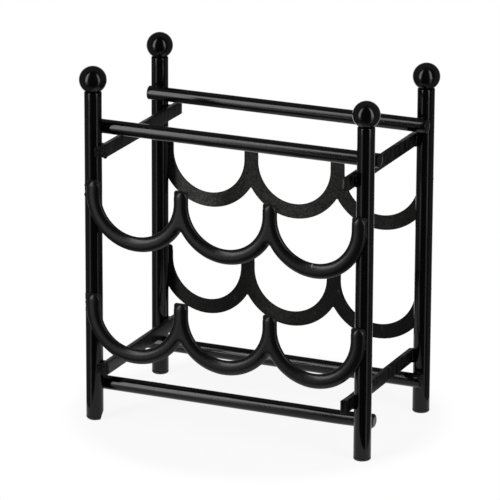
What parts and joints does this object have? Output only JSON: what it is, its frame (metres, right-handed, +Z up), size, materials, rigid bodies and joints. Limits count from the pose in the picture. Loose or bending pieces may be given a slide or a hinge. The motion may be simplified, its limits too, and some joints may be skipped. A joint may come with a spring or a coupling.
{
  "type": "wine rack",
  "caption": "Free-standing welded metal wine rack: ball-topped tube posts joined by round rails and flat side bars, with scalloped cradles that hold bottles on their sides in tiers.",
  "frame": {"origin": "on the floor, at the middle of the footprint", "axes": "+Z up, +X to the right seen from the front, +Y to the back; bottles lie along Y"},
  "size_m": [0.3284, 0.208, 0.3779],
  "materials": {
    "gloss_black_metal": "gloss black enamel",
    "satin_black_metal": "satin black enamel",
    "black_plastic": "matte black"
  },
  "bodies": {
    "root": {"front_left_post": "gloss_black_metal", "front_right_post": "gloss_black_metal", "back_left_post": "gloss_black_metal", "back_right_post": "gloss_black_metal", "front_left_finial": "gloss_black_metal", "front_right_finial": "gloss_black_metal", "back_left_finial": "gloss_black_metal", "back_right_finial": "gloss_black_metal", "front_left_foot_plug": "black_plastic", "front_right_foot_plug": "black_plastic", "back_left_foot_plug": "black_plastic", "back_right_foot_plug": "black_plastic", "front_top_rail": "gloss_black_metal", "front_bottom_rail": "gloss_black_metal", "back_top_rail": "gloss_black_metal", "back_bottom_rail": "gloss_black_metal", "left_top_side_bar": "gloss_black_metal", "left_bottom_side_bar": "gloss_black_metal", "right_top_side_bar": "gloss_black_metal", "right_bottom_side_bar": "gloss_black_metal", "front_upper_cradle": "satin_black_metal", "front_lower_cradle": "satin_black_metal", "back_upper_cradle": "satin_black_metal", "back_lower_cradle": "satin_black_metal", "rail_welds": "gloss_black_metal", "side_bar_welds": "gloss_black_metal", "cradle_welds": "gloss_black_metal"}
  },
  "joints": []
}
